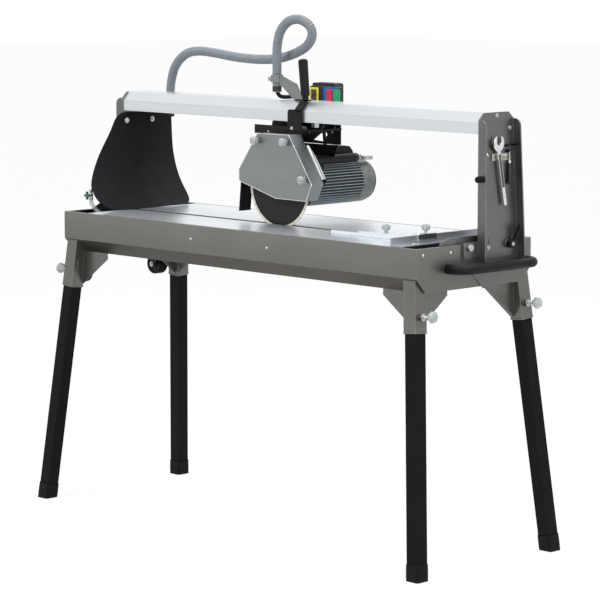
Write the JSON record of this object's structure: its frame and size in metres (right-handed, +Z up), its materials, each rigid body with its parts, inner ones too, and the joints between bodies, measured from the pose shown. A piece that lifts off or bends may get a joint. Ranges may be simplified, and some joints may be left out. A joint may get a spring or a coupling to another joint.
{
  "type": "masonry saw",
  "caption": "Wet bridge saw for stone and tile: a motor-driven blade under a guard runs along a tilting beam over a water tub on splayed legs, with a ribbed cable hose.",
  "frame": {"origin": "on the floor under the middle of the tub", "axes": "+X along the cut towards the transport handle, +Y away from the operator, +Z up"},
  "size_m": [1.6442, 0.6234, 1.5214],
  "materials": {
    "stainless": "satin",
    "aluminium": "satin",
    "steel": "satin",
    "polished_steel": "polished",
    "black_paint": "gloss",
    "rubber": "matt",
    "wheel_rubber": "matt",
    "grey_cast": "painted",
    "clear_plastic": "gloss",
    "blue_plastic": "gloss",
    "black_plastic": "matt",
    "red_plastic": "gloss",
    "green_plastic": "gloss",
    "hose_grey": "matt"
  },
  "bodies": {
    "stand": {"tub": "stainless", "table_front_board": "aluminium", "table_rear_board": "aluminium", "end_stop_rail": "aluminium", "tilt_plate_left": "stainless", "tilt_plate_right": "stainless", "transport_handle": "black_paint", "wheel_bracket": "black_paint", "water_pump": "black_plastic", "water_tap": "steel"},
    "fence_saddle": {"fence_slide": "polished_steel"},
    "fence_swing": {"fence_arm": "aluminium"},
    "fence_saddle_screw": {"fence_slide_knob": "clear_plastic"},
    "fence_swing_screw": {"fence_arm_knob": "clear_plastic"},
    "transport_wheelset": {"transport_wheels": "wheel_rubber"},
    "tap_handle": {"tap_lever": "green_plastic"},
    "bridge": {"beam": "aluminium", "post_left": "stainless", "post_right": "stainless", "splash_flap": "rubber", "hung_tools": "steel", "pivot_bolt_left": "steel", "pivot_bolt_right": "steel"},
    "tilt_lock_left": {"tilt_lever_left": "black_paint"},
    "tilt_lock_right": {"tilt_lever_right": "black_paint"},
    "carriage": {"carriage_frame": "black_paint", "push_grip": "rubber", "hose_bracket": "steel", "hose": "hose_grey", "junction_box": "black_plastic", "switch_housing": "blue_plastic"},
    "stop_key": {"stop_button": "red_plastic"},
    "start_key": {"start_button": "green_plastic"},
    "roller_left": {"wheelset_left": "steel"},
    "roller_right": {"wheelset_right": "steel"},
    "roller_side": {"guide_roller": "steel"},
    "head": {"head_bracket": "black_paint", "motor_body": "grey_cast", "fan_cover": "black_plastic", "guard_cover": "stainless", "guard_housing": "polished_steel", "rear_flap": "rubber"},
    "guard_screw_left": {"guard_knob_left": "clear_plastic"},
    "guard_screw_middle": {"guard_knob_middle": "clear_plastic"},
    "guard_screw_right": {"guard_knob_right": "clear_plastic"},
    "arbor": {"blade": "steel", "blade_clamp": "steel", "rotor_shaft": "steel"},
    "leg_assembly_fl": {"leg_fl": "black_paint", "foot_fl": "rubber"},
    "leg_screw_fl": {"leg_knob_fl": "clear_plastic"},
    "leg_assembly_rl": {"leg_rl": "black_paint", "foot_rl": "rubber"},
    "leg_screw_rl": {"leg_knob_rl": "clear_plastic"},
    "leg_assembly_fr": {"leg_fr": "black_paint", "foot_fr": "rubber"},
    "leg_screw_fr": {"leg_knob_fr": "clear_plastic"},
    "leg_assembly_rr": {"leg_rr": "black_paint", "foot_rr": "rubber"},
    "leg_screw_rr": {"leg_knob_rr": "clear_plastic"}
  },
  "joints": [
    {"name": "fence_slide", "type": "slide", "parent": "stand", "child": "fence_saddle", "axis": [0, 1, 0], "range_m": [-0.09, 0.02]},
    {"name": "fence_swing", "type": "hinge", "parent": "fence_saddle", "child": "fence_swing", "pos_m": [0.612, -0.085, 0.91], "axis": [0, 0, 1], "range_deg": [0, 45]},
    {"name": "fence_saddle_screw", "type": "hinge", "parent": "fence_saddle", "child": "fence_saddle_screw", "pos_m": [0.643, -0.085, 0.95], "axis": [0, 0, 1], "continuous": true},
    {"name": "fence_swing_screw", "type": "hinge", "parent": "fence_swing", "child": "fence_swing_screw", "pos_m": [0.49, -0.085, 0.93], "axis": [0, 0, 1], "continuous": true},
    {"name": "transport_wheels_spin", "type": "hinge", "parent": "stand", "child": "transport_wheelset", "pos_m": [-0.762, 0, 0.708], "axis": [0, 1, 0], "continuous": true},
    {"name": "tap_turn", "type": "hinge", "parent": "stand", "child": "tap_handle", "pos_m": [-0.7365, -0.1625, 0.949], "axis": [0, 1, 0], "range_deg": [0, 90]},
    {"name": "leg_slide_fl", "type": "slide", "parent": "stand", "child": "leg_assembly_fl", "axis": [-0.0975, -0.0842, -0.9917], "range_m": [0, 0.05]},
    {"name": "leg_screw_fl", "type": "hinge", "parent": "stand", "child": "leg_screw_fl", "pos_m": [-0.72861, -0.21721, 0.71562], "axis": [0.9952, -0.0083, -0.0972], "continuous": true},
    {"name": "leg_slide_rl", "type": "slide", "parent": "stand", "child": "leg_assembly_rl", "axis": [-0.0975, 0.0842, -0.9917], "range_m": [0, 0.05]},
    {"name": "leg_screw_rl", "type": "hinge", "parent": "stand", "child": "leg_screw_rl", "pos_m": [-0.72861, 0.21721, 0.71562], "axis": [0.9952, 0.0083, -0.0972], "continuous": true},
    {"name": "leg_slide_fr", "type": "slide", "parent": "stand", "child": "leg_assembly_fr", "axis": [0.0975, -0.0842, -0.9917], "range_m": [0, 0.05]},
    {"name": "leg_screw_fr", "type": "hinge", "parent": "stand", "child": "leg_screw_fr", "pos_m": [0.72861, -0.21721, 0.71562], "axis": [0.9952, 0.0083, 0.0972], "continuous": true},
    {"name": "leg_slide_rr", "type": "slide", "parent": "stand", "child": "leg_assembly_rr", "axis": [0.0975, 0.0842, -0.9917], "range_m": [0, 0.05]},
    {"name": "leg_screw_rr", "type": "hinge", "parent": "stand", "child": "leg_screw_rr", "pos_m": [0.72861, 0.21721, 0.71562], "axis": [0.9952, -0.0083, 0.0972], "continuous": true},
    {"name": "bridge_tilt", "type": "hinge", "parent": "stand", "child": "bridge", "pos_m": [0, -0.03, 0.895], "axis": [1, 0, 0], "range_deg": [0, 45], "deforming": ["splash_flap"]},
    {"name": "tilt_lock_left", "type": "hinge", "parent": "bridge", "child": "tilt_lock_left", "pos_m": [-0.76, 0.132, 0.895], "axis": [1, 0, 0], "range_deg": [0, 60]},
    {"name": "tilt_lock_right", "type": "hinge", "parent": "bridge", "child": "tilt_lock_right", "pos_m": [0.76, 0.132, 0.895], "axis": [1, 0, 0], "range_deg": [0, 60]},
    {"name": "carriage_travel", "type": "slide", "parent": "bridge", "child": "carriage", "axis": [1, 0, 0], "range_m": [-0.47, 0.48], "deforming": ["hose"]},
    {"name": "stop_press", "type": "slide", "parent": "carriage", "child": "stop_key", "axis": [0, 1, 0], "range_m": [0, 0.004], "stiffness_N_per_m": 400, "springref_m": -0.002},
    {"name": "start_press", "type": "slide", "parent": "carriage", "child": "start_key", "axis": [0, 1, 0], "range_m": [0, 0.004], "stiffness_N_per_m": 400, "springref_m": -0.002},
    {"name": "roller_left_spin", "type": "hinge", "parent": "carriage", "child": "roller_left", "pos_m": [-0.088, 0.076, 1.2303], "axis": [0, 1, 0], "continuous": true},
    {"name": "roller_right_spin", "type": "hinge", "parent": "carriage", "child": "roller_right", "pos_m": [0.127, 0.076, 1.2303], "axis": [0, 1, 0], "continuous": true},
    {"name": "roller_side_spin", "type": "hinge", "parent": "carriage", "child": "roller_side", "pos_m": [0.07, 0.0593, 1.2], "axis": [0, 0, 1], "continuous": true},
    {"name": "head_plunge", "type": "hinge", "parent": "carriage", "child": "head", "pos_m": [-0.13, 0.075, 1.13], "axis": [0, 1, 0], "range_deg": [-8, 0]},
    {"name": "guard_screw_left", "type": "hinge", "parent": "head", "child": "guard_screw_left", "pos_m": [-0.069, -0.07, 1.151], "axis": [0, 1, 0], "continuous": true},
    {"name": "guard_screw_middle", "type": "hinge", "parent": "head", "child": "guard_screw_middle", "pos_m": [0.052, -0.07, 1.152], "axis": [0, 1, 0], "continuous": true},
    {"name": "guard_screw_right", "type": "hinge", "parent": "head", "child": "guard_screw_right", "pos_m": [0.13, -0.07, 1.046], "axis": [0, 1, 0], "continuous": true},
    {"name": "blade_spin", "type": "hinge", "parent": "head", "child": "arbor", "pos_m": [0, -0.03, 1.017], "axis": [0, 1, 0], "continuous": true}
  ],
  "couplings": [
    {"joint": "roller_left_spin", "follows": "carriage_travel", "rad_per_m": 52.632},
    {"joint": "roller_right_spin", "follows": "carriage_travel", "rad_per_m": 52.632},
    {"joint": "roller_side_spin", "follows": "carriage_travel", "rad_per_m": -52.632}
  ]
}
